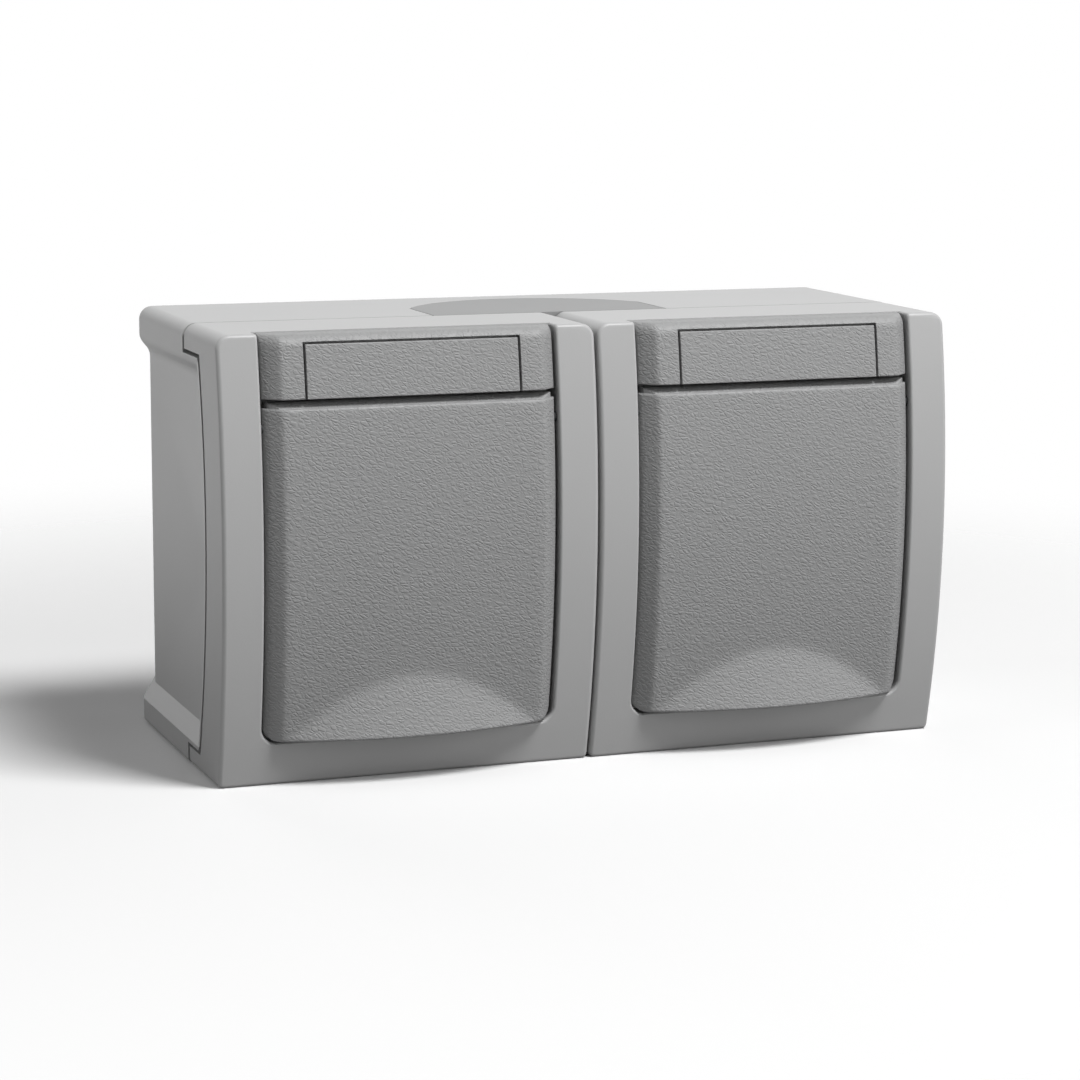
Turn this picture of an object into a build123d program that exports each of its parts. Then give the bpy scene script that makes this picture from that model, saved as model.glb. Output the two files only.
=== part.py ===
from build123d import *
import math
import os

# A surface-mounted double socket for outdoors, with two spring lids over two earthed sockets.
# Lengths are millimetres. X runs along the two gangs, the front faces -Y and Z is up.
# The origin is the middle of the back face, which lies on the wall.
# A depth is a distance in front of the wall, so a point at depth d has y = -d.

# Socket insert, a standard recess for a round earthed plug
recess_radius = 21.75
recess_depth = 17.5
face_wall = 1.15
face_floor = 3.0
face_flange = 0.4
face_flange_height = 1.6
face_hole_clearance = 0.2
seal_gap = 0.2
seal_width = 1.4
seal_height = 1.9
lid_seal_gap = 0.3
pin_spacing = 19.0
pin_hole_radius = 2.6
key_width = 4.8
key_height = 1.8
earth_slot_half_width = 3.2
earth_slot_margin = 2.5

# Front view of one gang, outwards from the seal round the recess
lid_side_margin = 2.35
lid_foot_margin = 2.3
hinge_margin = 4.1
lid_gap = 0.5
side_member = 7.6
bottom_member = 7.9
cover_side_gap = 0.15
block_clearance = 0.95
block_groove = 1.6
block_height = 11.15
block_top_gap = 0.2
top_corner_radius = 2.5
bottom_corner_radius = 1.0

# Side view, outwards from the wall
box_floor = 2.5
wiring_space = 11.5
base_thickness = 19.0
seam_inset = 17.5
barrel_gap = 0.6
spring_skin = 0.7
lid_proud = 1.8
block_seat_rise = 1.0

# Bowed front, shared by cover, lid, block and label
bow_radius = 200.0
bow_middle = 4.0

# Back box
box_wall = 2.4
centre_wall = 5.2
end_recess = 2.0
upper_tab = 5.1
upper_flare = 4.5
lower_tab = 4.7
lower_flare = 3.3
back_top_radius = 2.4
back_bottom_radius = 1.0
wall_hole_radius = 2.3
wall_hole_inset = 8.6
wall_hole_collar = 2.2
wall_hole_collar_height = 1.5
wire_window_width = 21.5
wire_window_height = 24.0

# Joint between box and front covers
seam_gap = 0.45
side_seam_gap = 0.7
side_seam_top_rise = 10.9
side_seam_crown_rise = 14.5
side_seam_crown_height = 3.0
side_seam_bottom_rise = 8.1
cover_upper_tab = 4.5
cover_lower_tab = 3.3
seam_rim_width = 0.8
seam_rim_slope = 8.0

# Seal between box and cover
flange_rise = 2.5
flange_thickness = 5.5
flange_margin = 0.3
gasket_thickness = 1.6
gasket_width = 2.0
gasket_inset = 4.4

# Front cover
cover_wall = 2.0
cover_side_draft = 0.1
cover_front_radius = 0.8
tray_thickness = 2.2
opening_edge_radius = 0.5
hinge_rib_half = 4.0

# Lid
lid_wall = 2.0
lid_bevel = 2.8
lid_bottom_radius = 2.5
lid_top_radius = 0.6
lip_height = 11.0
lip_slope = 0.2
lip_curve_radius = 74.0
lip_side = 1.75
lip_root = 1.5

# Hinge of the lid
barrel_radius = 4.3
barrel_end_gap = 0.85
pin_radius = 1.0
pin_clearance = 0.06
pin_seat_clearance = 0.02
pin_seat = 3.0
pin_end_gap = 0.4
spring_room = 14.0
spring_room_radius = 3.3
spring_wire_radius = 0.3
spring_radius = 1.9
spring_turns = 7
spring_pitch = 1.2
spring_leg = 3.6
spring_root_share = 1.1
spring_leg_seat = 0.3

# Hinge block and label
block_wall = 2.0
block_top_radius = 2.0
label_side = 7.5
label_border = 1.65
label_gap = 0.4
label_bed_gap = 0.05
label_thickness = 1.5

# Cable entry panel in the top of the box
entry_half_width = 23.5
entry_straight_depth = 22.0
entry_back_depth = 8.0
entry_gap = 0.25
entry_ledge = 1.5
entry_plate = 1.3
entry_plug = 2.2

# Contacts
base_inset = 0.75
base_back_wall = 3.2
sleeve_outer = 3.4
sleeve_inner = 2.45
sleeve_slot = 0.8
contact_clearance = 0.3
contact_inset = 0.8
terminal_inset = 0.5
terminal_half_height = 3.6
terminal_depth = 8.0
wire_hole_radius = 1.8
earth_half_width = 2.8
earth_thickness = 0.8
earth_root_rise = 0.75
earth_bump_drop = 1.25
earth_tip_rise = 0.15
earth_bump_share = 0.65

# Screws
cover_screw_margin = 0.45
cover_screw_radius = 1.7
cover_screw_head_radius = 3.0
cover_screw_head = 1.8
cover_screw_bite = 10.0
screw_hole_clearance = 0.2
thread_clearance = 0.05
post_wall = 1.7
ear_reach = 5.2
ear_half_height = 4.5
ear_thickness = 3.0
ear_rise = 10.0
base_screw_radius = 1.4
base_screw_head_radius = 2.8
base_screw_head = 1.6
base_screw_bite = 8.0
face_screw_radius = 1.5
face_screw_head_radius = 3.2
face_screw_head = 1.4
face_screw_bite = 9.0
terminal_screw_radius = 1.5
terminal_screw_head_radius = 2.2
terminal_screw_head = 2.0
terminal_screw_tip = 0.2
screw_slot = 0.7
screw_slot_depth = 0.8

# Worked out across the front, outwards from the recess
face_outer_radius = recess_radius + face_wall
face_flange_radius = face_outer_radius + face_flange
seal_inner_radius = face_flange_radius + seal_gap
seal_outer_radius = seal_inner_radius + seal_width
lid_half_width = seal_outer_radius + lid_side_margin
opening_half_width = lid_half_width + lid_gap
cover_half_width = opening_half_width + side_member
gang_pitch = 2 * (cover_half_width + cover_side_gap)
half_width = gang_pitch
gang_centres = {"left": -gang_pitch / 2, "right": gang_pitch / 2}
cover_inner_half_width = cover_half_width - cover_wall
gasket_half_width = opening_half_width + gasket_width
barrel_half_width = lid_half_width - barrel_end_gap
label_half_width = lid_half_width - label_side
lip_half_width = lid_half_width - lip_side
cover_screw_offset = lid_half_width - lid_wall - cover_screw_head_radius - cover_screw_margin
base_radius = recess_radius - base_inset
ear_offset = base_radius + ear_reach
terminal_end = base_radius - terminal_inset
terminal_length = terminal_end - pin_spacing / 2 - sleeve_outer
terminal_screw_bite = terminal_length / 2 + terminal_screw_tip
earth_root_radius = recess_radius + earth_root_rise
earth_bump_radius = recess_radius - earth_bump_drop
earth_tip_radius = recess_radius + earth_tip_rise

# Worked out up the front: the part below the socket, then the part above it
below_socket = seal_outer_radius + lid_foot_margin + lid_gap + bottom_member
axis_above_socket = seal_outer_radius + hinge_margin
block_above_socket = axis_above_socket + barrel_radius + block_clearance
above_socket = block_above_socket + block_height + block_top_gap
half_height = (below_socket + above_socket) / 2
socket_height = below_socket - half_height
opening_bottom = bottom_member - half_height
lid_bottom = opening_bottom + lid_gap
axis_height = socket_height + axis_above_socket
block_bottom = socket_height + block_above_socket
block_top = block_bottom + block_height
lid_top = block_bottom - block_groove
label_height = block_height - label_border
lip_crease = lid_bottom + lip_height
cover_inner_half_height = half_height - cover_wall
gasket_half_height = half_height - gasket_inset
wall_hole_height = half_height - wall_hole_inset

# Worked out from the wall to the front
base_back_depth = box_floor + wiring_space
ear_depth = base_back_depth + ear_rise
face_back_depth = base_back_depth + base_thickness
recess_floor_depth = face_back_depth + face_floor
tray_depth = recess_floor_depth + recess_depth
tray_back = tray_depth - tray_thickness
seam_depth = tray_depth - seam_inset
cover_back_depth = seam_depth + seam_gap / 2
box_front_depth = seam_depth - seam_gap / 2
flange_depth = seam_depth + flange_rise
gasket_front = flange_depth + gasket_thickness
side_seam_top_depth = seam_depth + side_seam_top_rise
side_seam_crown_depth = seam_depth + side_seam_crown_rise
side_seam_bottom_depth = seam_depth + side_seam_bottom_rise
block_seat_depth = tray_depth + block_seat_rise
axis_depth = tray_depth + barrel_gap + barrel_radius
bow_at_axis = bow_radius - math.sqrt(bow_radius**2 - (axis_height - bow_middle) ** 2)
lid_crown = axis_depth + spring_room_radius + spring_skin + bow_at_axis
cover_crown = lid_crown - lid_proud
lid_back_depth = tray_depth + seal_height + lid_seal_gap
sleeve_length = base_thickness - contact_inset - base_back_wall
cover_post_radius = cover_screw_radius + post_wall
base_post_radius = base_screw_radius + post_wall
beyond = 10.0
near = 0.01


def depth_box(x_low, x_high, depth_low, depth_high, z_low, z_high):
    """Solid between two widths, two depths in front of the wall and two heights."""
    size = (x_high - x_low, depth_high - depth_low, z_high - z_low)
    middle = ((x_low + x_high) / 2, -(depth_low + depth_high) / 2, (z_low + z_high) / 2)
    return Pos(*middle) * Box(*size)


def depth_rod(x, z, radius, depth_low, depth_high):
    """Round bar square to the wall."""
    bar = Rot(90, 0, 0) * Cylinder(radius, depth_high - depth_low)
    return Pos(x, -(depth_low + depth_high) / 2, z) * bar


def cross_rod(x_low, x_high, depth, z, radius):
    """Round bar along X."""
    bar = Rot(0, 90, 0) * Cylinder(radius, x_high - x_low)
    return Pos((x_low + x_high) / 2, -depth, z) * bar


def side_prism(edges, half_length):
    """Outline in the side view (y, z), carried along X both ways."""
    return extrude(Plane.YZ * make_face(edges), amount=half_length, both=True)


def bow_depth(crown, z):
    """Depth of the bowed front at one height, on a circle about the crown line."""
    return crown - bow_radius + math.sqrt(bow_radius**2 - (z - bow_middle) ** 2)


def bowed_prism(half_length, depth_back, crown, z_low, z_high):
    """Prism along X with a flat back and the bowed front."""
    z_middle = (z_low + z_high) / 2
    low = (-bow_depth(crown, z_low), z_low)
    middle = (-bow_depth(crown, z_middle), z_middle)
    high = (-bow_depth(crown, z_high), z_high)
    front = ThreePointArc(low, middle, high)
    back = Polyline(high, (-depth_back, z_high), (-depth_back, z_low), low)
    return side_prism(front.edges() + back.edges(), half_length)


def side_seam(gap, inset):
    """Curved side seam moved back by an inset, with a gap to the tabs of the cover above and below it."""
    high = (-side_seam_top_depth + inset, half_height - cover_upper_tab - gap)
    crown = (-side_seam_crown_depth + inset, side_seam_crown_height)
    low = (-side_seam_bottom_depth + inset, -half_height + cover_lower_tab + gap)
    return ThreePointArc(high, crown, low)


def side_bay(gap, half_length):
    """The scallop in the cover's side walls, or with a gap the tongue of the box that fills it."""
    arc = side_seam(gap, gap)
    high = arc @ 0
    low = arc @ 1
    start = -seam_depth + beyond
    rest = Polyline(low, (start, low.Y), (start, high.Y), high)
    return side_prism(arc.edges() + rest.edges(), half_length)


def seam_rim(side):
    """Raised border of the tongue, which slopes up from the end panel to the level of the cover."""
    front = side_seam(side_seam_gap, side_seam_gap)
    levels = ((half_width - end_recess - box_wall / 2, seam_rim_width + seam_rim_slope),
              (gang_pitch / 2 + cover_half_width, seam_rim_width))
    sections = []
    for x, width in levels:
        back = side_seam(side_seam_gap, side_seam_gap + width)
        upper = Line(back @ 0, front @ 0)
        lower = Line(front @ 1, back @ 1)
        band = make_face(front.edges() + lower.edges() + back.edges() + upper.edges())
        sections.append(Pos(side * x, 0, 0) * (Plane.YZ * band))
    return loft(sections, ruled=True)


def screw(x, z, seat, radius, bite, head_radius, head):
    """Slotted screw square to the wall, with its head in front of the seat."""
    body = depth_rod(x, z, radius, seat - bite, seat) + depth_rod(x, z, head_radius, seat, seat + head)
    front = seat + head
    slot = depth_box(x - head_radius, x + head_radius, front - screw_slot_depth, front,
                     z - screw_slot / 2, z + screw_slot / 2)
    return body - slot


def box_outline():
    """Front view of the box: the end panels stand back between an upper and a lower tab."""
    recessed = half_width - end_recess
    upper = half_height - upper_tab
    lower = -half_height + lower_tab
    panel_top = upper - upper_flare
    panel_bottom = lower + lower_flare
    down = [(0, -1), (0, -1)]
    right_flare = Spline((half_width, upper), (recessed, panel_top), tangents=down)
    right = Polyline((recessed, panel_top), (recessed, panel_bottom), (half_width, lower),
                     (half_width, -half_height), (-half_width, -half_height), (-half_width, lower),
                     (-recessed, panel_bottom), (-recessed, panel_top))
    left_flare = Spline((-half_width, upper), (-recessed, panel_top), tangents=down)
    top = Polyline((-half_width, upper), (-half_width, half_height), (half_width, half_height),
                   (half_width, upper))
    edges = right_flare.edges() + right.edges() + left_flare.edges() + top.edges()
    return Plane.XZ * make_face(edges)


def entry_outline(inset):
    """Plan of the cable entry panel: straight sides from the seam, then an arch towards the wall."""
    half = entry_half_width - inset
    start = (half, -entry_straight_depth)
    crown = (0, -entry_back_depth - inset)
    end = (-half, -entry_straight_depth)
    arch = ThreePointArc(start, crown, end)
    front = -box_front_depth
    sides = Polyline(end, (-half, front), (half, front), start)
    return make_face(arch.edges() + sides.edges())


def back_box():
    """One moulding across both gangs: floor, walls, middle wall, seal flanges and screw posts."""
    full = extrude(box_outline(), amount=side_seam_crown_depth)
    reach = depth_box(-half_width, half_width, 0, box_front_depth, -half_height, half_height)
    reach += side_bay(side_seam_gap, half_width)
    box = (full & reach) + seam_rim(-1) + seam_rim(1)
    corners = [e for e in box.edges().filter_by(Axis.Y) if abs(e.center().X) > half_width - near]
    box = fillet([e for e in corners if e.center().Z > half_height - near], top_corner_radius)
    corners = [e for e in box.edges().filter_by(Axis.Y) if abs(e.center().X) > half_width - near]
    box = fillet([e for e in corners if e.center().Z < near - half_height], bottom_corner_radius)
    back_edges = [e for e in box.edges().filter_by(Axis.X) if abs(e.center().Y) < near]
    box = fillet([e for e in back_edges if e.center().Z > half_height - near], back_top_radius)
    back_edges = [e for e in box.edges().filter_by(Axis.X) if abs(e.center().Y) < near]
    box = fillet([e for e in back_edges if e.center().Z < near - half_height], back_bottom_radius)
    inner_top = half_height - box_wall
    cavity_low = centre_wall / 2
    cavity_high = half_width - end_recess - box_wall
    for side in (-1, 1):
        x_low, x_high = sorted((side * cavity_low, side * cavity_high))
        box -= depth_box(x_low, x_high, box_floor, beyond + side_seam_crown_depth, -inner_top, inner_top)
    box += seal_flanges(cavity_high)
    for centre in gang_centres.values():
        for x, z in cover_screw_places(centre):
            box += depth_rod(x, z, cover_post_radius, box_floor / 2, flange_depth)
            box -= depth_rod(x, z, cover_screw_radius + thread_clearance, box_floor, flange_depth + beyond)
        for x in (centre - ear_offset, centre + ear_offset):
            box += depth_rod(x, socket_height, base_post_radius, box_floor / 2, ear_depth)
            box -= depth_rod(x, socket_height, base_screw_radius + thread_clearance, box_floor, ear_depth)
    for x in gang_centres.values():
        for z in (-wall_hole_height, wall_hole_height):
            collar_top = box_floor + wall_hole_collar_height
            box += depth_rod(x, z, wall_hole_radius + wall_hole_collar, box_floor / 2, collar_top)
            box -= depth_rod(x, z, wall_hole_radius, -beyond, collar_top + beyond)
    window_top = half_height - box_wall
    box -= depth_box(-centre_wall, centre_wall, box_floor, box_floor + wire_window_width,
                     window_top - wire_window_height, window_top)
    box -= extrude(Pos(0, 0, half_height - entry_plate) * entry_outline(0), amount=beyond)
    box -= extrude(Pos(0, 0, half_height) * entry_outline(entry_ledge), amount=-box_wall - entry_plug)
    return box


def seal_flanges(cavity_high):
    """Inner flange of each gang, which carries the gasket under the cover's rib."""
    ring = Part()
    flange_top = half_height - box_wall + flange_margin / 2
    inner_half_height = gasket_half_height - gasket_width
    back = flange_depth - flange_thickness
    for side, centre in ((-1, gang_centres["left"]), (1, gang_centres["right"])):
        near = side * (gang_pitch / 2 - cover_inner_half_width + flange_margin)
        far = side * (cavity_high + flange_margin / 2)
        x_low, x_high = sorted((near, far))
        plate = depth_box(x_low, x_high, back, flange_depth, -flange_top, flange_top)
        plate -= depth_box(centre - opening_half_width, centre + opening_half_width, back - beyond,
                           flange_depth + beyond, -inner_half_height, inner_half_height)
        ring += plate
    return ring


def cable_entry_panel():
    """Soft panel pressed into the top of the box, cut open where the cable comes in."""
    plate = extrude(Pos(0, 0, half_height - entry_plate) * entry_outline(entry_gap), amount=entry_plate)
    plug = extrude(Pos(0, 0, half_height - entry_plate) * entry_outline(entry_ledge + entry_gap),
                   amount=-entry_plug)
    return plate + plug


def cover_screw_places(centre):
    """The four corners round the socket."""
    offsets = (-cover_screw_offset, cover_screw_offset)
    return [(centre + dx, socket_height + dz) for dx in offsets for dz in offsets]


def front_cover(centre):
    """Moulded frame of one gang: bowed front, open panel for block and lid, tray and side scallops."""
    front_half_width = cover_half_width - cover_side_draft
    plan = Polyline((-cover_half_width, -cover_back_depth), (cover_half_width, -cover_back_depth),
                    (front_half_width, -cover_crown), (-front_half_width, -cover_crown), close=True)
    drafted = extrude(make_face(plan.edges()), amount=half_height, both=True)
    cover = drafted & bowed_prism(half_width, cover_back_depth, cover_crown, -half_height, half_height)
    outer = [e for e in cover.edges() if abs(e.center().X) > front_half_width - near]
    cover = fillet([e for e in outer if e.center().Z > half_height - near], top_corner_radius)
    outer = [e for e in cover.edges() if abs(e.center().X) > front_half_width - near]
    cover = fillet([e for e in outer if e.center().Z < near - half_height], bottom_corner_radius)
    front_face = cover.faces().sort_by(Axis.Y)[0]
    cover = fillet(front_face.edges(), cover_front_radius)
    inner_z = cover_inner_half_height
    cover -= depth_box(-cover_inner_half_width, cover_inner_half_width, 0, tray_back, -inner_z, inner_z)
    cover -= side_bay(0, half_width)
    cover -= member_hollows()
    cover -= lid_opening()
    cover -= depth_box(-opening_half_width, opening_half_width, block_seat_depth, lid_crown + beyond,
                       block_bottom - lid_gap, half_height + beyond)
    cover = fillet([e for e in cover.edges() if on_opening_rim(e)], opening_edge_radius)
    cover += seal_rib()
    for x, z in cover_screw_places(0):
        cover += depth_rod(x, z, cover_post_radius, flange_depth + seam_gap, tray_back)
        cover -= depth_rod(x, z, cover_screw_radius + screw_hole_clearance, 0, lid_crown)
    cover -= depth_rod(0, socket_height, face_outer_radius + face_hole_clearance, 0, lid_crown)
    pin_end = opening_half_width + pin_seat
    cover -= cross_rod(-pin_end, pin_end, axis_depth, axis_height, pin_radius + pin_seat_clearance)
    return Pos(centre, 0, 0) * cover


def lid_opening():
    """The room of the lid in front of the tray, with round lower corners concentric with the lid's."""
    room = depth_box(-opening_half_width, opening_half_width, tray_depth, lid_crown + beyond, opening_bottom,
                     block_bottom)
    lower = [e for e in room.edges().filter_by(Axis.Y) if e.center().Z < opening_bottom + near]
    return fillet(lower, lid_bottom_radius + lid_gap)


def on_opening_rim(edge):
    """Whether an edge runs along the front rim of the cover's opening."""
    point = edge.center()
    if -point.Y < bow_depth(cover_crown, point.Z) - cover_front_radius:
        return False
    corner = lid_bottom_radius + lid_gap
    across = abs(point.X) - opening_half_width
    inside = near > across and point.Z > opening_bottom - near
    on_side = inside and across > -near and abs(edge.tangent_at(0.5).X) < near
    on_bottom = inside and point.Z < opening_bottom + near
    on_corner = inside and across > -corner and point.Z < opening_bottom + corner
    return on_side or on_bottom or on_corner


def member_hollows():
    """Cores behind the side and bottom members, with a solid rib left round each hinge pin."""
    inner_wall = opening_half_width + cover_wall
    middle = (inner_wall + cover_inner_half_width) / 2
    half = (cover_inner_half_width - inner_wall) / 2
    inner_z = cover_inner_half_height
    core = bowed_prism(half, tray_back - cover_wall, cover_crown - cover_wall, -inner_z, inner_z)
    core -= depth_box(-half, half, tray_back, lid_crown, axis_height - hinge_rib_half,
                      axis_height + hinge_rib_half)
    low_core = bowed_prism(inner_wall, tray_back - cover_wall, cover_crown - cover_wall, -inner_z,
                           opening_bottom - cover_wall)
    return Pos(middle, 0, 0) * core + Pos(-middle, 0, 0) * core + low_core


def seal_rib():
    """Rib behind the tray that presses on the gasket."""
    back = gasket_front
    rib = depth_box(-gasket_half_width, gasket_half_width, back, tray_back, -gasket_half_height,
                    gasket_half_height)
    inner_width = gasket_half_width - gasket_width
    inner_height = gasket_half_height - gasket_width
    return rib - depth_box(-inner_width, inner_width, back - beyond, tray_back, -inner_height, inner_height)


def cover_gasket(centre):
    """Rubber ring between the flange of the box and the rib of the cover."""
    ring = depth_box(-gasket_half_width, gasket_half_width, flange_depth, gasket_front,
                     -gasket_half_height, gasket_half_height)
    inner_width = gasket_half_width - gasket_width
    inner_height = gasket_half_height - gasket_width
    ring -= depth_box(-inner_width, inner_width, flange_depth - beyond, gasket_front + beyond,
                      -inner_height, inner_height)
    return Pos(centre, 0, 0) * ring


def bevel_sides(piece, half_length, bevel):
    """Chamfer along the two sides of a bowed front."""
    sides = [e for e in piece.edges() if abs(abs(e.center().X) - half_length) < near
             and e not in piece.edges().filter_by(Axis.Y) and e not in piece.edges().filter_by(Axis.Z)]
    return chamfer(sides, bevel)


def lid(centre):
    """Sprung lid: bowed shell with bevelled sides, a finger lip, a seal rib and the hinge barrel."""
    outer = bowed_prism(lid_half_width, lid_back_depth, lid_crown, lid_bottom, lid_top)
    outer = bevel_sides(outer, lid_half_width, lid_bevel)
    bottom_corners = [e for e in outer.edges().filter_by(Axis.Y) if e.center().Z < lid_bottom + near]
    shell = fillet(bottom_corners, lid_bottom_radius)
    shell += finger_lip() & bowed_prism(lid_half_width, lid_back_depth, lid_crown + beyond, lid_bottom,
                                        lid_top)
    inner = bowed_prism(lid_half_width - lid_wall, 0, lid_crown - lid_wall, lid_bottom + lid_wall, lid_top)
    shell -= bevel_sides(inner, lid_half_width - lid_wall, lid_bevel - lid_wall / 2)
    ring = depth_rod(0, socket_height, seal_outer_radius, lid_back_depth, lid_crown - lid_wall / 2)
    ring -= depth_rod(0, socket_height, seal_inner_radius, tray_depth, lid_crown)
    ring &= bowed_prism(lid_half_width - lid_wall, tray_depth, lid_crown - lid_wall / 2, lid_bottom, lid_top)
    shell += ring
    shell -= depth_box(-lid_half_width, lid_half_width, 0, axis_depth, axis_height, lid_top + beyond)
    top_edges = [e for e in shell.edges() if e.center().Z > lid_top - near
                 and -e.center().Y > bow_depth(lid_crown, lid_top) - lid_bevel]
    shell = fillet(top_edges, lid_top_radius)
    shell += hinge_barrel()
    half_room = spring_room / 2
    shell -= cross_rod(-half_room, half_room, axis_depth, axis_height, spring_room_radius)
    room_low = axis_height - barrel_radius - lid_gap
    shell -= depth_box(-half_room, half_room, 0, axis_depth - pin_radius, room_low, lid_top + beyond)
    shell -= depth_box(-half_room, half_room, 0, bow_depth(lid_crown - lid_wall, axis_height), room_low,
                       axis_height)
    shell -= cross_rod(-half_width, half_width, axis_depth, axis_height, pin_radius + pin_clearance)
    return Pos(centre, 0, 0) * shell


def hinge_barrel():
    """Barrel along the top of the lid, kept behind the bowed front and its side bevels."""
    barrel = cross_rod(-barrel_half_width, barrel_half_width, axis_depth, axis_height, barrel_radius)
    limit = bowed_prism(lid_half_width, 0, lid_crown, axis_height - barrel_radius - near, block_bottom)
    return barrel & bevel_sides(limit, lid_half_width, lid_bevel + lid_top_radius)


def finger_lip():
    """Crescent lip: a round in plan, carried down and forward so that it grows out of the bow."""
    crown = bow_depth(lid_crown, lip_crease)
    end = crown - lip_curve_radius + math.sqrt(lip_curve_radius**2 - lip_half_width**2)
    root = end - lip_root
    arc = ThreePointArc((-lip_half_width, -end), (0, -crown), (lip_half_width, -end))
    back = Polyline((lip_half_width, -end), (lip_half_width, -root), (-lip_half_width, -root),
                    (-lip_half_width, -end))
    plan = Pos(0, 0, lip_crease) * make_face(arc.edges() + back.edges())
    drop = lip_crease - lid_bottom
    travel = drop * math.sqrt(1 + lip_slope**2)
    return extrude(plan, amount=travel, dir=(0, -lip_slope, -1))


def hinge_pin(centre):
    """Steel pin through the barrel, held in the two side members of the cover."""
    end = opening_half_width + pin_seat - pin_end_gap
    return cross_rod(centre - end, centre + end, axis_depth, axis_height, pin_radius)


def lid_spring(centre):
    """Torsion spring round the pin: one leg lies on the tray, the other behind the lid."""
    half = spring_turns * spring_pitch / 2
    helix = Rot(0, 90, 0) * Pos(0, 0, -half) * Helix(spring_pitch, 2 * half, spring_radius)
    ring = Circle(spring_wire_radius)
    coil = sweep(Plane(origin=helix @ 0, z_dir=helix % 0) * ring, path=helix)
    stand_off = spring_wire_radius + spring_leg_seat
    tray_side = axis_depth - tray_depth - stand_off
    lid_side = axis_depth - bow_depth(lid_crown - lid_wall, axis_height) + stand_off
    for root, y in ((helix @ 0, tray_side), (helix @ 1, lid_side)):
        leg = Line(root, (root.X, y, -spring_leg))
        coil += sweep(Plane(origin=root, z_dir=leg % 0) * ring, path=leg)
        coil += Pos(*root) * Sphere(spring_wire_radius * spring_root_share)
    return Pos(centre, -axis_depth, axis_height) * coil


def hinge_block(centre):
    """Fixed block over the hinge, wrapped onto the top of the cover, with a pocket for the label."""
    block = bowed_prism(lid_half_width, block_seat_depth, lid_crown, block_bottom, block_top)
    block = bevel_sides(block, lid_half_width, lid_bevel)
    top_front = [e for e in block.edges().filter_by(Axis.X) if e.center().Z > block_top - near
                 and -e.center().Y > block_seat_depth + block_wall]
    block = fillet(top_front, block_top_radius)
    core = bowed_prism(lid_half_width - lid_bevel, 0, lid_crown - label_thickness - block_wall,
                       block_bottom + block_wall, block_top - block_wall)
    block -= core
    pocket = bowed_prism(label_half_width + label_gap, lid_crown - beyond, lid_crown + beyond,
                         block_bottom - beyond, block_bottom + label_height + label_gap)
    pocket -= bowed_prism(half_width, 0, lid_crown - label_thickness - label_bed_gap,
                          block_bottom - beyond, block_top)
    return Pos(centre, 0, 0) * (block - pocket)


def label_insert(centre):
    """Plate that covers the paper label, curved like the block."""
    plate = bowed_prism(label_half_width, axis_depth - beyond, lid_crown, block_bottom,
                        block_bottom + label_height)
    plate -= bowed_prism(half_width, 0, lid_crown - label_thickness, block_bottom - beyond, block_top)
    return Pos(centre, 0, 0) * plate


def lid_seal(centre):
    """Soft ring round the socket, under the rib of the closed lid."""
    ring = depth_rod(0, socket_height, seal_outer_radius, tray_depth, tray_depth + seal_height)
    return Pos(centre, 0, 0) * (ring - depth_rod(0, socket_height, seal_inner_radius, 0, lid_crown))


def pin_places():
    """The two pin holes, left and right of the middle of the socket."""
    return (-pin_spacing / 2, pin_spacing / 2)


def socket_face(centre):
    """Round recess with pin holes, side keys and the slots of the earth contacts."""
    z = socket_height
    cup = depth_rod(0, z, face_outer_radius, face_back_depth, tray_depth + face_flange_height)
    cup += depth_rod(0, z, face_flange_radius, tray_depth, tray_depth + face_flange_height)
    cup -= depth_rod(0, z, recess_radius, recess_floor_depth, lid_crown)
    for side in (-1, 1):
        x_low, x_high = sorted((side * (recess_radius - key_height), side * (recess_radius + face_wall / 2)))
        cup += depth_box(x_low, x_high, recess_floor_depth, tray_depth, z - key_width / 2, z + key_width / 2)
        z_low, z_high = sorted((z + side * (recess_radius - earth_slot_margin),
                                z + side * (face_flange_radius + beyond)))
        cup -= depth_box(-earth_slot_half_width, earth_slot_half_width, 0, tray_depth - earth_slot_margin,
                         z_low, z_high)
    for x in pin_places():
        cup -= depth_rod(x, z, pin_hole_radius, 0, lid_crown)
    cup -= depth_rod(0, z, face_screw_radius + screw_hole_clearance, 0, lid_crown)
    cup -= depth_rod(0, z, face_screw_head_radius + screw_hole_clearance, recess_floor_depth
                     - face_screw_head, lid_crown)
    return Pos(centre, 0, 0) * cup


def contact_places():
    """Side of each pin, and the middle of its contact."""
    return ((-1, -pin_spacing / 2), (1, pin_spacing / 2))


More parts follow.
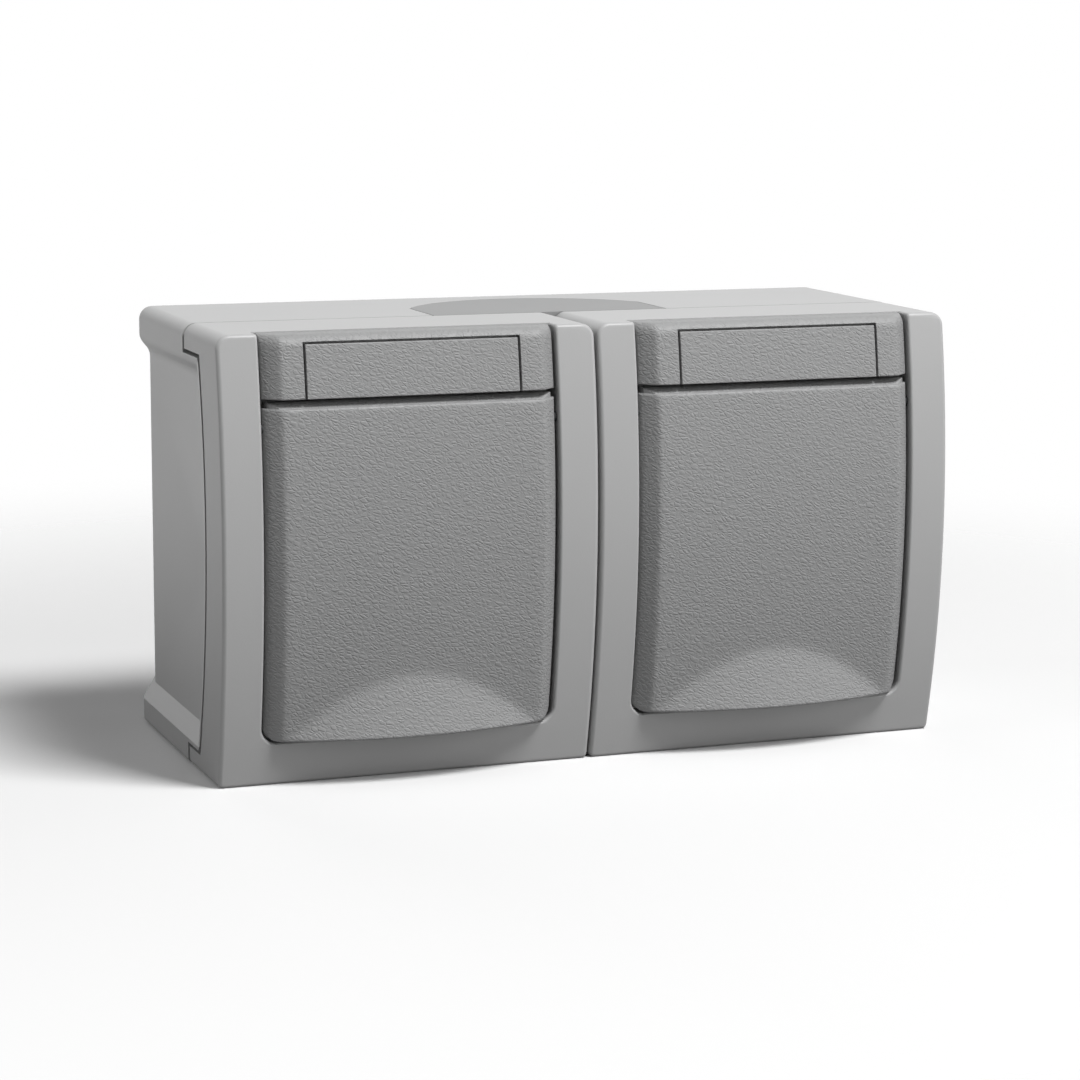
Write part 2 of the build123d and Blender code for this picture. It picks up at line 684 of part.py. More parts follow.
def contact_base(centre):
    """Moulded base with a chamber for each contact and two ears on the posts of the box."""
    z = socket_height
    base = depth_rod(0, z, base_radius, base_back_depth, face_back_depth)
    ear_end = ear_offset + base_post_radius
    base += depth_box(-ear_end, ear_end, ear_depth, ear_depth + ear_thickness, z - ear_half_height,
                      z + ear_half_height)
    for x in (-ear_offset, ear_offset):
        base -= depth_rod(x, z, base_screw_radius + screw_hole_clearance, 0, lid_crown)
    contact_front = face_back_depth - contact_inset
    contact_back = contact_front - sleeve_length
    for side, x in contact_places():
        base -= depth_rod(x, z, sleeve_outer + contact_clearance, contact_back - contact_clearance, lid_crown)
        x_low, x_high = sorted((x, side * (base_radius + base_post_radius + beyond)))
        base -= depth_box(x_low, x_high, contact_back - contact_clearance,
                          contact_back + terminal_depth + contact_clearance,
                          z - terminal_half_height - contact_clearance,
                          z + terminal_half_height + contact_clearance) - ear_keep(side)
        wire_x = side * terminal_middle()
        base -= depth_rod(wire_x, z, wire_hole_radius, 0, contact_back + contact_clearance)
    strip_room = earth_half_width + contact_clearance
    base -= depth_box(-strip_room, strip_room, face_back_depth - earth_thickness - contact_clearance,
                      lid_crown, z - base_radius, z + base_radius)
    base -= depth_rod(0, z, face_screw_radius + thread_clearance, face_back_depth - face_screw_bite
                      - contact_clearance, lid_crown)
    return Pos(centre, 0, 0) * base


def ear_keep(side):
    """The part of an ear that no terminal chamber may cut."""
    x_low, x_high = sorted((side * base_radius, side * (base_radius + beyond + beyond)))
    return depth_box(x_low, x_high, ear_depth, ear_depth + ear_thickness, socket_height - ear_half_height,
                     socket_height + ear_half_height)


def terminal_middle():
    """Distance of the wire hole from the middle of the socket."""
    return pin_spacing / 2 + sleeve_outer + terminal_length / 2


def pin_contact(centre, side):
    """Brass contact: a slotted sleeve that grips the pin, and its terminal."""
    z = socket_height
    x = side * pin_spacing / 2
    front = face_back_depth - contact_inset
    back = front - sleeve_length
    contact = depth_rod(x, z, sleeve_outer, back, front)
    inner_end = side * (pin_spacing / 2 + sleeve_inner)
    outer_end = side * terminal_end
    x_low, x_high = sorted((inner_end, outer_end))
    contact += depth_box(x_low, x_high, back, back + terminal_depth, z - terminal_half_height,
                         z + terminal_half_height)
    contact -= depth_rod(x, z, sleeve_inner, back - beyond, front + beyond)
    contact -= depth_box(x - sleeve_slot / 2, x + sleeve_slot / 2, back + terminal_depth, front + beyond,
                         z, z + sleeve_outer + beyond)
    wire_x = side * terminal_middle()
    contact -= depth_rod(wire_x, z, wire_hole_radius, back - beyond, back + terminal_depth / 2
                         + wire_hole_radius)
    x_low, x_high = sorted((wire_x, outer_end + side * beyond))
    contact -= cross_rod(x_low, x_high, back + terminal_depth / 2, z, terminal_screw_radius
                         + thread_clearance)
    return Pos(centre, 0, 0) * contact


def earth_clip(centre):
    """Sprung strip across the base, whose two ends stand in the slots of the recess."""
    back = face_back_depth - earth_thickness
    tip = tray_depth - earth_slot_margin - contact_clearance
    bump = back + earth_bump_share * (tip - back)
    foot = back + earth_thickness
    outer = [(back, earth_root_radius), (foot, earth_root_radius),
             (bump, earth_bump_radius + earth_thickness), (tip, earth_tip_radius + earth_thickness / 2)]
    inner = [(tip, earth_tip_radius - earth_thickness / 2), (bump, earth_bump_radius),
             (foot, earth_root_radius - earth_thickness)]
    upper = [(-depth, socket_height + radius) for depth, radius in outer + inner]
    lower = [(-depth, socket_height - radius) for depth, radius in reversed(outer + inner)]
    strip = side_prism(Polyline(*(upper + lower), close=True).edges(), earth_half_width)
    strip -= depth_rod(0, socket_height, face_screw_radius + screw_hole_clearance, 0, lid_crown)
    return Pos(centre, 0, 0) * strip


def terminal_screws(centre):
    """Clamping screws of the two pin terminals."""
    depth = face_back_depth - contact_inset - sleeve_length + terminal_depth / 2
    seat = terminal_end
    pair = Part()
    for side in (-1, 1):
        shank_low, shank_high = sorted((side * (seat - terminal_screw_bite), side * seat))
        head_low, head_high = sorted((side * seat, side * (seat + terminal_screw_head)))
        pair += cross_rod(shank_low, shank_high, depth, socket_height, terminal_screw_radius)
        pair += cross_rod(head_low, head_high, depth, socket_height, terminal_screw_head_radius)
    return Pos(centre, 0, 0) * pair


def cover_screws(centre):
    """Four screws through the tray into the posts of the box."""
    bite = tray_depth - flange_depth + cover_screw_bite
    group = Part()
    for x, z in cover_screw_places(centre):
        group += screw(x, z, tray_depth, cover_screw_radius, bite, cover_screw_head_radius, cover_screw_head)
    return group


def base_screws(centre):
    """Two screws through the ears of the base."""
    seat = ear_depth + ear_thickness
    bite = ear_thickness + base_screw_bite
    group = Part()
    for x in (centre - ear_offset, centre + ear_offset):
        group += screw(x, socket_height, seat, base_screw_radius, bite, base_screw_head_radius,
                       base_screw_head)
    return group


def face_screw(centre):
    """Middle screw that holds the socket face on its base."""
    seat = recess_floor_depth - face_screw_head
    bite = seat - face_back_depth + face_screw_bite
    return screw(centre, socket_height, seat, face_screw_radius, bite, face_screw_head_radius,
                 face_screw_head)


def gang_pieces(side, centre):
    """Every piece of one gang, by node name."""
    pieces = {
        "front_cover": front_cover(centre),
        "cover_gasket": cover_gasket(centre),
        "hinge_block": hinge_block(centre),
        "label_insert": label_insert(centre),
        "lid": lid(centre),
        "hinge_pin": hinge_pin(centre),
        "lid_spring": lid_spring(centre),
        "lid_seal": lid_seal(centre),
        "socket_face": socket_face(centre),
        "contact_base": contact_base(centre),
        "live_contact": pin_contact(centre, -1),
        "neutral_contact": pin_contact(centre, 1),
        "earth_clip": earth_clip(centre),
        "terminal_screws": terminal_screws(centre),
        "cover_screws": cover_screws(centre),
        "base_screws": base_screws(centre),
        "face_screw": face_screw(centre),
    }
    return {f"{side}_{name}": piece for name, piece in pieces.items()}


nodes = {"back_box": back_box(), "cable_entry_panel": cable_entry_panel()}
for gang_side, gang_centre in gang_centres.items():
    nodes.update(gang_pieces(gang_side, gang_centre))

os.makedirs("parts", exist_ok=True)
for node_name, node_shape in nodes.items():
    export_step(node_shape, f"parts/{node_name}.step")
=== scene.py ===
import math

import bpy
import numpy as np
from mathutils import Matrix, Vector


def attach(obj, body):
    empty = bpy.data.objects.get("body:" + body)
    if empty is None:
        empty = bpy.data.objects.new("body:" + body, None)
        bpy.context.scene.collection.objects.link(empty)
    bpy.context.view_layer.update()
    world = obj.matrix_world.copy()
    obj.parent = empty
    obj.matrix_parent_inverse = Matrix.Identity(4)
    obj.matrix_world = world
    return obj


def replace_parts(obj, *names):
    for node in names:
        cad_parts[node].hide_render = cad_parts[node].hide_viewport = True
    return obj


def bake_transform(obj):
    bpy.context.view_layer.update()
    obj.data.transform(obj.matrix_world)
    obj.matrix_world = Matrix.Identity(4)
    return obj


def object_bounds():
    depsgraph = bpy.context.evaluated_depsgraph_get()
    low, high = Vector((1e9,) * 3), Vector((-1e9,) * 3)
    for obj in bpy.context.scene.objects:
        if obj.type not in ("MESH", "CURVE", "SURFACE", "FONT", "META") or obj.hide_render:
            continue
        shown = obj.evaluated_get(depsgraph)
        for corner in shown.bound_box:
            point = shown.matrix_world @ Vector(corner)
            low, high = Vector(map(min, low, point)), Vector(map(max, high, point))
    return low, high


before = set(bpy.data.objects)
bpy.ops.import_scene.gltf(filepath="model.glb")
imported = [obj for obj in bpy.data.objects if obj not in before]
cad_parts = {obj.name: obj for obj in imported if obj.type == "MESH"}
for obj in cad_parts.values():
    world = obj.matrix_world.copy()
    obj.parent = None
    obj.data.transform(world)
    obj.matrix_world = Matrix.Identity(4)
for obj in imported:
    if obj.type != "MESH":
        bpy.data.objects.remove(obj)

cad_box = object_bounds()

# The studio: the double socket stands on its flat underside on a pale floor, seen from its left and
# a little above through a long lens. A soft lamp hangs high in front, weaker ones stand on both
# sides, in front and behind, and the surround is white to the eye and in reflections.
lens_mm = 101.1
sensor_mm = 36.0
camera_azimuth = math.radians(-20.73)
camera_elevation = math.radians(9.85)
camera_roll = math.radians(0.34)
camera_distance = 0.61537
camera_target = Vector((0.01155, 0.0, -0.00945))
lamp_aim = Vector((0.0, -0.03, 0.0))
surround_grey = 0.06

back = Vector((math.sin(camera_azimuth) * math.cos(camera_elevation),
               -math.cos(camera_azimuth) * math.cos(camera_elevation), math.sin(camera_elevation)))
right = Vector((0, 0, 1)).cross(back).normalized()
roll = Matrix.Rotation(camera_roll, 3, back)
axes = Matrix((roll @ right, roll @ back.cross(right), back)).transposed()
camera_data = bpy.data.cameras.new("camera")
camera_data.lens = lens_mm
camera_data.sensor_width = sensor_mm
camera = bpy.data.objects.new("camera", camera_data)
camera.matrix_world = Matrix.Translation(camera_target + back * camera_distance) @ axes.to_4x4()
bpy.context.scene.collection.objects.link(camera)
bpy.context.scene.camera = camera
bpy.context.scene.view_settings.view_transform = "Standard"


def hang_lamp(name, place, side_length, watts, glossy=True):
    """Square lamp turned to the object, out of the camera's sight."""
    data = bpy.data.lights.new(name, "AREA")
    data.size = side_length
    data.energy = watts
    lamp = bpy.data.objects.new(name, data)
    turn = (lamp_aim - Vector(place)).to_track_quat("-Z", "Y")
    lamp.matrix_world = Matrix.Translation(place) @ turn.to_matrix().to_4x4()
    lamp.visible_camera = False
    lamp.visible_glossy = glossy
    bpy.context.scene.collection.objects.link(lamp)


hang_lamp("high_lamp", (0.30, -0.50, 0.95), 0.35, 11.5)
hang_lamp("right_lamp", (0.80, -0.75, 0.30), 0.5, 2.8)
hang_lamp("left_lamp", (-1.00, -0.05, 0.30), 0.4, 1.7)
hang_lamp("front_fill", (0.0, -1.15, 0.10), 0.5, 1.0)
hang_lamp("back_lamp", (-0.2, 1.10, 0.10), 0.5, 5.0, glossy=False)

world = bpy.data.worlds.new("surround")
bpy.context.scene.world = world
world.use_nodes = True
nodes = world.node_tree.nodes
links = world.node_tree.links
path = nodes.new("ShaderNodeLightPath")
strength = nodes.new("ShaderNodeMapRange")
strength.inputs["To Min"].default_value = surround_grey
total = path.outputs["Is Camera Ray"]
for ray in ("Is Glossy Ray", "Is Transmission Ray"):
    either = nodes.new("ShaderNodeMath")
    either.operation = "MAXIMUM"
    links.new(total, either.inputs[0])
    links.new(path.outputs[ray], either.inputs[1])
    total = either.outputs[0]
links.new(total, strength.inputs["Value"])
links.new(strength.outputs[0], nodes["Background"].inputs["Strength"])
nodes["Background"].inputs["Color"].default_value = (1, 1, 1, 1)

# Floor: a round pale sheet whose edge fades into the white surround, so that it only shows the
# soft shadow of the box. It is clear from below.
floor_radius = 0.9
floor_spokes = 64
floor_rings = 12
floor_fade_start = 0.08
floor_fade_end = 0.32
floor_seen_grey = 0.92
floor_bounce_grey = 0.28
floor_roughness = 0.9
floor_gloss = 0.1
welds_per_metre = 1e7
crisp_angle = math.radians(28)


def put_mesh(name, points, faces, body):
    """Smooth piece from points in metres and faces: points that coincide are joined, faces that
    lose a side are dropped, and edges sharper than the crisp angle stay crisp."""
    keys = np.round(np.asarray(points) * welds_per_metre).astype(np.int64)
    first, joined = np.unique(keys, axis=0, return_index=True, return_inverse=True)[1:]
    joined = joined.reshape(-1)
    kept = []
    for face in faces:
        face = joined[face]
        face = face[face != np.roll(face, 1)]
        if len(face) > 2:
            kept.append(face.tolist())
    mesh = bpy.data.meshes.new(name)
    mesh.from_pydata(np.asarray(points)[first].tolist(), [], kept)
    mesh.update()
    mesh.polygons.foreach_set("use_smooth", np.ones(len(mesh.polygons), bool))
    mesh.set_sharp_from_angle(angle=crisp_angle)
    piece = bpy.data.objects.new(name, mesh)
    bpy.context.scene.collection.objects.link(piece)
    weighting = piece.modifiers.new("even_shading", "WEIGHTED_NORMAL")
    weighting.keep_sharp = True
    if body:
        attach(piece, body)
    return piece


def grid_faces(index, flip=False):
    """Quads of a grid of point numbers, rows upwards and columns to the right, facing forwards."""
    quads = np.stack([index[:-1, :-1], index[:-1, 1:], index[1:, 1:], index[1:, :-1]], -1).reshape(-1, 4)
    return quads[:, ::-1] if flip else quads


def ring_faces(index):
    """Quads between closed rings of point numbers, each row of the array one ring."""
    following = np.roll(index, -1, axis=1)
    return np.stack([index[:-1], index[1:], following[1:], following[:-1]], -1).reshape(-1, 4)


turn = np.linspace(0, 2 * np.pi, floor_spokes + 1)[:-1]
ring = np.linspace(0, floor_radius, floor_rings + 1)[1:, None]
floor_points = np.stack([ring * np.cos(turn), ring * np.sin(turn),
                         np.full((len(ring), len(turn)), cad_box[0][2])], -1)
floor_index = np.arange(floor_points.size // 3).reshape(len(ring), len(turn))
floor = put_mesh("floor", floor_points.reshape(-1, 3), [floor_index[0], *ring_faces(floor_index)], None)
floor.modifiers.clear()
floor_material = bpy.data.materials.new("pale_floor")
floor_material.use_nodes = True
nodes = floor_material.node_tree.nodes
links = floor_material.node_tree.links
shader = nodes["Principled BSDF"]
shader.inputs["Roughness"].default_value = floor_roughness
shader.inputs["Specular IOR Level"].default_value = floor_gloss
path = nodes.new("ShaderNodeLightPath")
grey = nodes.new("ShaderNodeMix")
grey.data_type = "RGBA"
grey.inputs["A"].default_value = (floor_bounce_grey, floor_bounce_grey, floor_bounce_grey, 1)
grey.inputs["B"].default_value = (floor_seen_grey, floor_seen_grey, floor_seen_grey, 1)
links.new(path.outputs["Is Camera Ray"], grey.inputs["Factor"])
links.new(grey.outputs["Result"], shader.inputs["Base Color"])
place = nodes.new("ShaderNodeTexCoord")
reach = nodes.new("ShaderNodeVectorMath")
reach.operation = "LENGTH"
links.new(place.outputs["Object"], reach.inputs[0])
fade = nodes.new("ShaderNodeMapRange")
fade.interpolation_type = "SMOOTHSTEP"
fade.inputs["From Min"].default_value = floor_fade_start
fade.inputs["From Max"].default_value = floor_fade_end
fade.inputs["To Min"].default_value = 1.0
fade.inputs["To Max"].default_value = 0.0
links.new(reach.outputs["Value"], fade.inputs["Value"])
side_seen = nodes.new("ShaderNodeNewGeometry")
from_above = nodes.new("ShaderNodeMath")
from_above.operation = "SUBTRACT"
from_above.use_clamp = True
links.new(fade.outputs[0], from_above.inputs[0])
links.new(side_seen.outputs["Backfacing"], from_above.inputs[1])
links.new(from_above.outputs[0], shader.inputs["Alpha"])
floor.data.materials.append(floor_material)

# Back box: one injection moulding of light grey satin plastic across both gangs. It screws to the
# wall through four collars, and its two end panels stand back between an upper and a lower tab.
light_grey = (0.462, 0.463, 0.463)
grain_detail = 2.0
flow_marks_per_metre = 45.0
flow_detail = 3.0


def finished_copy(node, material):
    """Fixed solid for smooth shading in one finish: its loose triangles joined corner to corner."""
    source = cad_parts[node].data
    points = np.empty(len(source.vertices) * 3)
    source.vertices.foreach_get("co", points)
    triangles = np.empty(len(source.polygons) * 3, int)
    source.polygons.foreach_get("vertices", triangles)
    piece = put_mesh(node + "_made", points.reshape(-1, 3), triangles.reshape(-1, 3), "body")
    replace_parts(piece, node)
    return dress(piece, material)


def dress(piece, material):
    """A piece given its finish."""
    piece.data.materials.append(material)
    return piece


def new_group(name, inputs, output, output_kind="NodeSocketFloat"):
    """Empty shader node group with float inputs and one output, and its two end nodes."""
    group = bpy.data.node_groups.new(name, "ShaderNodeTree")
    for label in inputs:
        group.interface.new_socket(label, in_out="INPUT", socket_type="NodeSocketFloat")
    group.interface.new_socket(output, in_out="OUTPUT", socket_type=output_kind)
    return group, group.nodes.new("NodeGroupInput"), group.nodes.new("NodeGroupOutput")


# Height of a spark-eroded mould surface: fine noise on object coordinates.
spark_grain, given, result = new_group("spark_grain", ["Grains per metre"], "Height")
place = spark_grain.nodes.new("ShaderNodeTexCoord")
noise = spark_grain.nodes.new("ShaderNodeTexNoise")
noise.inputs["Detail"].default_value = grain_detail
spark_grain.links.new(place.outputs["Object"], noise.inputs["Vector"])
spark_grain.links.new(given.outputs["Grains per metre"], noise.inputs["Scale"])
spark_grain.links.new(noise.outputs["Fac"], result.inputs["Height"])

# Flow marks of a moulding: a slow, faint change of tone through the plastic.
flow_tone, given, result = new_group("flow_tone", ["Red", "Green", "Blue", "Change"], "Color",
                                     "NodeSocketColor")
place = flow_tone.nodes.new("ShaderNodeTexCoord")
noise = flow_tone.nodes.new("ShaderNodeTexNoise")
noise.inputs["Scale"].default_value = flow_marks_per_metre
noise.inputs["Detail"].default_value = flow_detail
flow_tone.links.new(place.outputs["Object"], noise.inputs["Vector"])
centred = flow_tone.nodes.new("ShaderNodeMath")
centred.operation = "SUBTRACT"
centred.inputs[1].default_value = 0.5
flow_tone.links.new(noise.outputs["Fac"], centred.inputs[0])
factor = flow_tone.nodes.new("ShaderNodeMath")
factor.operation = "MULTIPLY_ADD"
factor.inputs[2].default_value = 1.0
flow_tone.links.new(centred.outputs[0], factor.inputs[0])
flow_tone.links.new(given.outputs["Change"], factor.inputs[1])
mixed = flow_tone.nodes.new("ShaderNodeCombineColor")
for channel in ("Red", "Green", "Blue"):
    product = flow_tone.nodes.new("ShaderNodeMath")
    product.operation = "MULTIPLY"
    flow_tone.links.new(given.outputs[channel], product.inputs[0])
    flow_tone.links.new(factor.outputs[0], product.inputs[1])
    flow_tone.links.new(product.outputs[0], mixed.inputs[channel])
flow_tone.links.new(mixed.outputs["Color"], result.inputs["Color"])


def add_group(tree, group, **values):
    """A group placed in a material with its own values."""
    node = tree.nodes.new("ShaderNodeGroup")
    node.node_tree = group
    for label, value in values.items():
        node.inputs[label.replace("_", " ")].default_value = value
    return node


def add_bump(tree, shader, height, metres):
    """Height between 0 and 1 turned into relief of so many metres."""
    bump = tree.nodes.new("ShaderNodeBump")
    bump.inputs["Distance"].default_value = metres
    tree.links.new(height, bump.inputs["Height"])
    tree.links.new(bump.outputs["Normal"], shader.inputs["Normal"])


def moulded(name, colour, change, roughness, grains, relief):
    """Moulded plastic or rubber: toned colour, one roughness and a spark-eroded surface."""
    material = bpy.data.materials.new(name + "_finish")
    material.use_nodes = True
    tree = material.node_tree
    shader = tree.nodes["Principled BSDF"]
    shader.inputs["Roughness"].default_value = roughness
    tone = add_group(tree, flow_tone, Red=colour[0], Green=colour[1], Blue=colour[2], Change=change)
    tree.links.new(tone.outputs["Color"], shader.inputs["Base Color"])
    surface = add_group(tree, spark_grain, Grains_per_metre=grains)
    add_bump(tree, shader, surface.outputs["Height"], relief)
    return material


light_plastic = moulded("light_plastic", light_grey,
                        change=0.04, roughness=0.42, grains=2600.0, relief=0.000010)
finished_copy("back_box", light_plastic)

# Cable entry: a darker, softer panel pressed into the top of the box over a ledge, to be cut open
# where the cable comes in.
panel_grey = (0.283, 0.284, 0.285)

panel_plastic = moulded("panel_plastic", panel_grey,
                        change=0.05, roughness=0.55, grains=1800.0, relief=0.000015)
finished_copy("cable_entry_panel", panel_plastic)

# Inside each gang: a black thermoset base on two posts, brass contacts and an earth strip pressed
# from sheet, clamping screws at the terminals, and the screws of base and face.
base_black = (0.022, 0.022, 0.023)
brass_yellow = (0.72, 0.52, 0.26)
zinc_grey = (0.52, 0.52, 0.53)


def metal(name, colour, change, roughness, grains, relief):
    """Moulded surface settings with a metal's reflection."""
    material = moulded(name, colour, change, roughness, grains, relief)
    material.node_tree.nodes["Principled BSDF"].inputs["Metallic"].default_value = 1.0
    return material


base_plastic = moulded("base_plastic", base_black,
                       change=0.10, roughness=0.50, grains=2200.0, relief=0.000012)
contact_brass = metal("contact_brass", brass_yellow,
                      change=0.08, roughness=0.32, grains=1400.0, relief=0.000006)
steel = metal("steel", zinc_grey, change=0.10, roughness=0.45, grains=1600.0, relief=0.000008)
gang_finishes = {
    "contact_base": base_plastic, "live_contact": contact_brass, "neutral_contact": contact_brass,
    "earth_clip": contact_brass, "terminal_screws": steel, "base_screws": steel, "face_screw": steel}

# Socket face and seals: a near-black shiny cup with pin holes, side keys and earth slots, a soft
# ring round it for the lid, and a rubber ring that keeps water out between box and cover.
socket_black = (0.055, 0.056, 0.058)
rubber_black = (0.018, 0.018, 0.018)

socket_plastic = moulded("socket_plastic", socket_black,
                         change=0.06, roughness=0.30, grains=2400.0, relief=0.000006)
seal_rubber = moulded("seal_rubber", rubber_black,
                      change=0.10, roughness=0.70, grains=1500.0, relief=0.000020)
gang_finishes.update(socket_face=socket_plastic, lid_seal=seal_rubber, cover_gasket=seal_rubber)

# Front covers: one frame for each gang in the plastic of the box, bowed from top to bottom, held by
# four slotted screws in the tray, with a steel pin across its side members for the lid; the pin's
# near-black is painted shade, so that the gap at its ends stays dark.
# Painted shade: the steel of the pin is coloured near-black so that it catches no reflection in the
# shaded gap at its ends.
painted_shade_black = (0.05, 0.05, 0.052)

pin_painted_shade = metal("pin_painted_shade", painted_shade_black, change=0.10, roughness=0.55, grains=1600.0, relief=0.000008)
gang_finishes.update(front_cover=light_plastic, cover_screws=steel)
gang_centres = {"left": -0.0355, "right": 0.0355}
for side in gang_centres:
    for name, material in gang_finishes.items():
        finished_copy(f"{side}_{name}", material)
    # The hinge pins get the near-black steel of painted shade.
    finished_copy(side + "_hinge_pin", pin_painted_shade)

# Lids: dark grey mouldings with a leather grain, bowed from top to bottom, with bevelled sides and
# a crescent lip for the finger. The shell is 2 mm thick and carries a ring rib and the hinge barrel.
bow_radius = 0.200
bow_middle = 0.004
lid_crown = 0.0634025
lid_half_width = 0.02725
lid_bottom = -0.0322
lid_top = 0.02765
lid_wall = 0.002
lid_bevel = 0.0028
lid_corner = 0.0025
lid_edge = 0.0005
lid_back_depth = 0.0557
lip_crease = -0.0212
lip_slope = 0.2
lip_curve_radius = 0.074
lip_softness = 0.00035
lip_end = 0.001
bevel_softness = 0.0005
axis_depth = 0.0584
axis_height = 0.024
socket_height = -0.005
rib_inner_radius = 0.0235
rib_outer_radius = 0.0249
edge_steps = 6
corner_step = 0.00025
lip_step = 0.00028
upper_step = 0.0009
bevel_reach = 0.0006
bevel_step = 0.0002
side_step = 0.0005
middle_step = 0.00045
rib_sides = 96
dark_grey = (0.297, 0.298, 0.299)


def bow(crown, z):
    """Depth of the bowed front: crown - R + sqrt(R^2 - (z - middle)^2)."""
    return crown - bow_radius + np.sqrt(bow_radius**2 - (z - bow_middle) ** 2)


def soft_max(a, b, width):
    """The larger of two depths, rounded where they cross: (a + b + sqrt((a - b)^2 + w^2)) / 2."""
    return (a + b + np.sqrt((a - b) ** 2 + width**2)) / 2


def soft_min(a, b, width):
    """The smaller of two depths, rounded where they cross."""
    return -soft_max(-a, -b, width)


def edge_drop(distance, radius):
    """How far a rounded edge falls back at a distance inside the outline: r - sqrt(r^2 - (r - d)^2)."""
    inside = radius - np.clip(distance, 0, radius)
    return radius - np.sqrt(radius**2 - inside**2)


def steps(start, *stops):
    """Values from stop to stop, each stop given with the step that leads to it."""
    values = [np.array([start])]
    for stop, step in stops:
        count = max(1, int(round(abs(stop - start) / step)))
        values.append(np.linspace(start, stop, count + 1)[1:])
        start = stop
    return np.concatenate(values)


def rounding(radius, count, reach=None):
    """Distances from an edge at which a round is cut up to a reach, close together at the edge."""
    whole = math.acos(1 - (reach or radius) / radius)
    return radius * (1 - np.cos(np.linspace(0, whole, count)))


def outline_grid(rows, half_width, insets):
    """Grid over an outline: x = side * half_width(z) * (1 - inset / widest), rows upwards."""
    share = 1 - insets / insets.max()
    across = np.concatenate([-share, share[-2::-1]])
    x = half_width[:, None] * across
    return x, np.broadcast_to(rows[:, None], x.shape)


def rim(grid):
    """The outer loop of a grid, anticlockwise seen from the front."""
    return np.concatenate([grid[0, :], grid[1:, -1], grid[-1, -2::-1], grid[-2:0:-1, 0]])


def corner_width(z, half_width, bottom, radius):
    """Half width at each height of an outline with two round lower corners."""
    below = np.clip(bottom + radius - z, 0, radius)
    return half_width - radius + np.sqrt(radius**2 - below**2)


def edge_distance(x, z, half_width, bottom, top, radius):
    """Distance inside an outline with round lower corners and square upper ones."""
    across = np.abs(x) - (half_width - radius)
    below = bottom + radius - z
    round_part = radius - np.hypot(np.clip(across, 0, None), np.clip(below, 0, None))
    straight = np.minimum(half_width - np.abs(x), z - bottom)
    distance = np.where((across > 0) & (below > 0), round_part, straight)
    return np.minimum(distance, top - z)


def as_points(x, depth, z, centre):
    """Points at depths in front of the wall, moved to the middle of a gang."""
    return np.stack(np.broadcast_arrays(x + centre, -depth, z), -1)


def closed_form(front, rings, back=None):
    """Front grid, loops behind its rim and a back grid, or one cap on the last loop."""
    points = [front.reshape(-1, 3)]
    index = np.arange(front.shape[0] * front.shape[1]).reshape(front.shape[:2])
    faces = [*grid_faces(index)]
    loops = [rim(index)]
    count = index.size
    for loop in rings:
        points.append(loop)
        loops.append(np.arange(count, count + len(loop)))
        count += len(loop)
    if back is None:
        faces.append(loops[-1][::-1])
    else:
        back_index = np.arange(count, count + back.shape[0] * back.shape[1]).reshape(back.shape[:2])
        points.append(back.reshape(-1, 3))
        faces.extend(grid_faces(back_index, flip=True))
        loops.append(rim(back_index))
    faces.extend(ring_faces(np.stack(loops)))
    return np.concatenate(points), faces


def lofted(loops, around=False):
    """Skin over equal closed loops, each anticlockwise seen from the loop before it. Both ends are
    capped, or the last loop joins the first."""
    index = np.arange(loops.shape[0] * loops.shape[1]).reshape(loops.shape[:2])
    if around:
        faces = [*ring_faces(np.concatenate([index, index[:1]]))]
    else:
        faces = [*ring_faces(index), index[0], index[-1][::-1]]
    return loops.reshape(-1, 3), faces


def lid_front(x, z):
    """Bow, or the crescent where that stands further out; beside them the bevel; a rounded edge."""
    crown = bow(lid_crown, lip_crease)
    plan = crown - lip_curve_radius + np.sqrt(lip_curve_radius**2 - x**2)
    depth = soft_max(bow(lid_crown, z), plan + lip_slope * (lip_crease - z), lip_softness)
    bevel = bow(lid_crown, z) + lid_half_width - lid_bevel - np.abs(x)
    depth = soft_min(depth, bevel, bevel_softness)
    inside = edge_distance(x, z, lid_half_width, lid_bottom, lid_top, lid_corner)
    return depth - edge_drop(inside, lid_edge)


def lid_inside(x, z):
    """The same bow and bevels one wall further back."""
    half_width = lid_half_width - lid_wall
    bevel = bow(lid_crown - lid_wall, z) + half_width - lid_bevel + lid_wall / 2 - np.abs(x)
    return np.minimum(bow(lid_crown - lid_wall, z), bevel)


lid_rows = np.concatenate([
    lid_bottom + rounding(lid_edge, edge_steps),
    steps(lid_bottom + lid_edge, (lid_bottom + lid_corner, corner_step),
          (lip_crease + lip_end, lip_step), (lid_top - lid_edge, upper_step))[1:-1],
    lid_top - rounding(lid_edge, edge_steps)[::-1]])
lid_insets = np.concatenate([
    rounding(lid_edge, edge_steps)[:-1],
    steps(lid_edge, (lid_bevel - bevel_reach, side_step), (lid_bevel + bevel_reach, bevel_step),
          (lid_half_width, middle_step))])
lid_x, lid_z = outline_grid(lid_rows, corner_width(lid_rows, lid_half_width, lid_bottom, lid_corner),
                            lid_insets)
inner_rows = lid_top + (lid_rows - lid_top) * (1 - lid_wall / (lid_top - lid_bottom))
inner_half = corner_width(inner_rows, lid_half_width - lid_wall, lid_bottom + lid_wall,
                          lid_corner - lid_wall)
inner_x, inner_z = outline_grid(inner_rows, inner_half, lid_insets)
# The skirt reaches back to the tray, but only to the hinge axis above it and not at all on top.
wall_back = np.where(rim(lid_z) > axis_height, axis_depth, lid_back_depth)
on_top = np.isclose(rim(lid_z), lid_top) & (np.abs(rim(lid_x)) < lid_half_width - lid_wall)
wall_back = np.where(on_top, lid_inside(rim(lid_x), rim(lid_z)), wall_back)
rib_turn = np.linspace(0, 2 * np.pi, rib_sides + 1)[:-1, None]
rib_radius = np.array([rib_inner_radius, rib_outer_radius, rib_outer_radius, rib_inner_radius])
rib_z = socket_height + rib_radius * np.sin(rib_turn)
rib_depth = np.where([False, False, True, True], bow(lid_crown - lid_wall / 2, rib_z), lid_back_depth)

